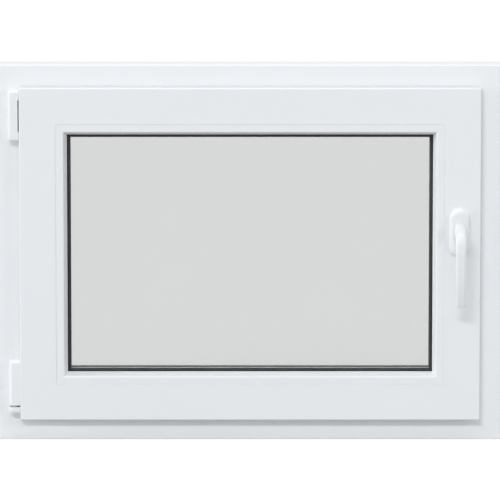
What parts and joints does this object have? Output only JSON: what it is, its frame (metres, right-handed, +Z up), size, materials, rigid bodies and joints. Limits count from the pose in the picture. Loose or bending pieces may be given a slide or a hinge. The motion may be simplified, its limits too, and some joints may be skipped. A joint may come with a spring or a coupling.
{
  "type": "basement window",
  "caption": "White plastic basement window with one glazed turn-and-tilt sash in a fixed frame, hinge caps on the left and a turning handle on the right.",
  "frame": {"origin": "middle of the frame's bottom face, half way along it and half way through the frame's depth", "axes": "+X to the right seen from the room, along the window's width; +Z up; the room is on the -Y side and outdoors on the +Y side"},
  "size_m": [0.8, 0.1564, 0.6],
  "materials": {
    "white_plastic": "smooth white window profile with a slight satin sheen",
    "white_cap": "moulded white cap, satin",
    "white_lacquer": "white powder coat, satin",
    "clear_glass": "clear float glass",
    "black_rubber": "black sealing rubber, dull",
    "spacer_metal": "mill finish",
    "zinc_metal": "zinc plated, pale yellow passivation"
  },
  "bodies": {
    "window": {"frame_head": "white_plastic", "frame_sill": "white_plastic", "frame_hinge_jamb": "white_plastic", "frame_lock_jamb": "white_plastic", "sash_head_rail": "white_plastic", "sash_bottom_rail": "white_plastic", "sash_hinge_stile": "white_plastic", "sash_lock_stile": "white_plastic", "glazing_bead_top": "white_plastic", "glazing_bead_bottom": "white_plastic", "glazing_bead_hinge_side": "white_plastic", "glazing_bead_lock_side": "white_plastic", "inner_pane": "clear_glass", "outer_pane": "clear_glass", "spacer_bar": "spacer_metal", "edge_sealant": "black_rubber", "inner_glazing_gasket": "black_rubber", "outer_glazing_gasket": "black_rubber", "frame_stop_seal": "black_rubber", "sash_overlap_seal": "black_rubber", "upper_hinge_bearing": "zinc_metal", "upper_hinge_pin": "zinc_metal", "upper_hinge_strap": "zinc_metal", "upper_hinge_cap": "white_cap", "lower_hinge_bearing": "zinc_metal", "lower_hinge_pin": "zinc_metal", "lower_hinge_strap": "zinc_metal", "lower_bearing_cap": "white_cap", "lower_hinge_cap": "white_cap", "handle_rosette": "white_lacquer", "drain_cover_hinge_side": "white_cap", "drain_cover_lock_side": "white_cap"},
    "handle": {"handle_lever": "white_lacquer", "handle_spindle": "zinc_metal"}
  },
  "joints": [
    {"name": "handle_turn", "type": "hinge", "parent": "window", "child": "handle", "pos_m": [0.3325, -0.055, 0.336], "axis": [0, 1, 0], "range_deg": [0, 180]}
  ]
}
